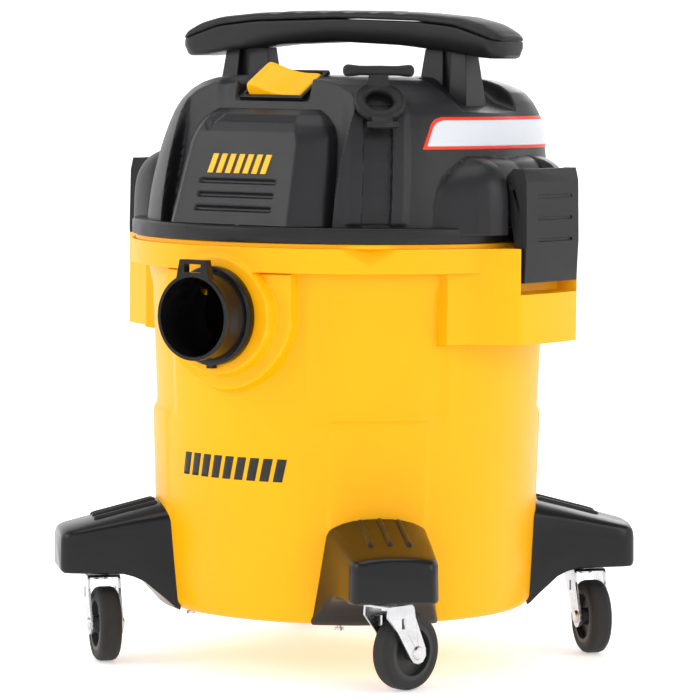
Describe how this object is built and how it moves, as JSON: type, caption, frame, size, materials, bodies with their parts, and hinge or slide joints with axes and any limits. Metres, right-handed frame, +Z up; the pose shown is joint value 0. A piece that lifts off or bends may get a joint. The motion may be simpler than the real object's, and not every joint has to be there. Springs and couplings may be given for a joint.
{
  "type": "shop vacuum",
  "caption": "Wet-and-dry shop vacuum: round plastic tank on castered legs, lift-off power head with carry handle, rocker switch and latches.",
  "frame": {"origin": "on the floor under the centre of the machine, on the tank's axis", "axes": "+Z up, -Y towards the hose inlet and switch panel, +X towards the right-hand latch"},
  "size_m": [0.395, 0.414, 0.525],
  "materials": {
    "tank_yellow": "satin moulded",
    "black_abs": "moulded",
    "satin_black": "fine texture",
    "soft_black_rubber": "matt",
    "latch_black": "satin",
    "switch_yellow": "semi gloss",
    "dark_moulding": "moulded",
    "seal_rubber": "matt",
    "steel": "bright",
    "zinc_steel": "bright zinc plated",
    "hub_grey": "moulded",
    "tyre": "matt",
    "motor_iron": "laminated",
    "copper": "bright",
    "aluminium": "satin",
    "filter_paper": "pleated",
    "filter_caps": "moulded",
    "float_white": "moulded",
    "plate": "printed, blank"
  },
  "bodies": {
    "tank": {"drum": "tank_yellow", "latch_housings": "tank_yellow", "inlet_port": "black_abs", "inlet_gasket": "seal_rubber", "inlet_deflector": "black_abs", "leg_front_right": "black_abs", "leg_front_left": "black_abs", "leg_rear_left": "black_abs", "leg_rear_right": "black_abs", "leg_screws": "steel", "caster_stems": "steel"},
    "power_head": {"lid_base": "black_abs", "head_seal": "seal_rubber", "motor_cover": "black_abs", "front_panel": "satin_black", "switch_bezel": "satin_black", "switch_module": "dark_moulding", "handle_frame": "satin_black", "handle_grip": "soft_black_rubber", "hinge_pins": "steel", "side_plate": "plate", "blower_port": "black_abs", "cord_gland": "soft_black_rubber", "fan_housing": "dark_moulding", "motor_mount_ring": "aluminium", "motor_stator": "motor_iron", "motor_frame": "dark_moulding", "motor_bearings": "steel", "brush_holders": "dark_moulding", "filter_cage": "dark_moulding", "cartridge_filter": "filter_paper", "filter_end_caps": "filter_caps", "cover_screws": "steel"},
    "caster_front_right": {"caster_fork_front_right": "zinc_steel", "caster_axle_front_right": "steel"},
    "wheel_front_right": {"caster_hub_front_right": "hub_grey", "caster_tyre_front_right": "tyre"},
    "caster_front_left": {"caster_fork_front_left": "zinc_steel", "caster_axle_front_left": "steel"},
    "wheel_front_left": {"caster_hub_front_left": "hub_grey", "caster_tyre_front_left": "tyre"},
    "caster_rear_left": {"caster_fork_rear_left": "zinc_steel", "caster_axle_rear_left": "steel"},
    "wheel_rear_left": {"caster_hub_rear_left": "hub_grey", "caster_tyre_rear_left": "tyre"},
    "caster_rear_right": {"caster_fork_rear_right": "zinc_steel", "caster_axle_rear_right": "steel"},
    "wheel_rear_right": {"caster_hub_rear_right": "hub_grey", "caster_tyre_rear_right": "tyre"},
    "rotor": {"rotor_shaft": "steel", "armature": "motor_iron", "commutator": "copper", "impeller": "aluminium"},
    "float": {"float_ball": "float_white"},
    "latch_right": {"latch_right": "latch_black"},
    "latch_left": {"latch_left": "latch_black"},
    "rocker": {"power_rocker": "switch_yellow"},
    "strap": {"hose_strap": "soft_black_rubber", "strap_ring": "soft_black_rubber"},
    "filter_clamp": {"filter_clamp": "dark_moulding"}
  },
  "joints": [
    {"name": "caster_swivel_front_right", "type": "hinge", "parent": "tank", "child": "caster_front_right", "pos_m": [0.14213, -0.14213, 0.068], "axis": [0, 0, 1], "continuous": true},
    {"name": "wheel_spin_front_right", "type": "hinge", "parent": "caster_front_right", "child": "wheel_front_right", "pos_m": [0.14543, -0.1224, 0.03], "axis": [0.9863, -0.165, 0], "continuous": true},
    {"name": "caster_swivel_front_left", "type": "hinge", "parent": "tank", "child": "caster_front_left", "pos_m": [-0.14213, -0.14213, 0.068], "axis": [0, 0, 1], "continuous": true},
    {"name": "wheel_spin_front_left", "type": "hinge", "parent": "caster_front_left", "child": "wheel_front_left", "pos_m": [-0.12672, -0.15488, 0.03], "axis": [-0.6374, -0.7705, 0], "continuous": true},
    {"name": "caster_swivel_rear_left", "type": "hinge", "parent": "tank", "child": "caster_rear_left", "pos_m": [-0.14213, 0.14213, 0.068], "axis": [0, 0, 1], "continuous": true},
    {"name": "wheel_spin_rear_left", "type": "hinge", "parent": "caster_rear_left", "child": "wheel_rear_left", "pos_m": [-0.13009, 0.12616, 0.03], "axis": [-0.7986, -0.6018, 0], "continuous": true},
    {"name": "caster_swivel_rear_right", "type": "hinge", "parent": "tank", "child": "caster_rear_right", "pos_m": [0.14213, 0.14213, 0.068], "axis": [0, 0, 1], "continuous": true},
    {"name": "wheel_spin_rear_right", "type": "hinge", "parent": "caster_rear_right", "child": "wheel_rear_right", "pos_m": [0.15754, 0.12938, 0.03], "axis": [-0.6374, -0.7705, 0], "continuous": true},
    {"name": "head_lift", "type": "slide", "parent": "tank", "child": "power_head", "axis": [0, 0, 1], "range_m": [0, 0.18]},
    {"name": "latch_right_swing", "type": "hinge", "parent": "power_head", "child": "latch_right", "pos_m": [0.183, 0, 0.388], "axis": [0, -1, 0], "range_deg": [0, 55]},
    {"name": "latch_left_swing", "type": "hinge", "parent": "power_head", "child": "latch_left", "pos_m": [-0.183, 0, 0.388], "axis": [0, 1, 0], "range_deg": [0, 55]},
    {"name": "rocker_tilt", "type": "hinge", "parent": "power_head", "child": "rocker", "pos_m": [0, -0.0851, 0.45867], "axis": [0, 0.866, 0.5], "range_deg": [-14, 0]},
    {"name": "strap_swing", "type": "hinge", "parent": "power_head", "child": "strap", "pos_m": [0.11053, -0.11053, 0.43561], "axis": [0.7071, 0.7071, 0], "range_deg": [0, 70]},
    {"name": "rotor_spin", "type": "hinge", "parent": "power_head", "child": "rotor", "pos_m": [0, 0, 0.4], "axis": [0, 0, 1], "continuous": true},
    {"name": "float_rise", "type": "slide", "parent": "power_head", "child": "float", "axis": [0, 0, 1], "range_m": [0, 0.07]},
    {"name": "filter_clamp_turn", "type": "hinge", "parent": "power_head", "child": "filter_clamp", "pos_m": [0, 0, 0.2108], "axis": [0, 0, 1], "range_deg": [0, 90]}
  ]
}
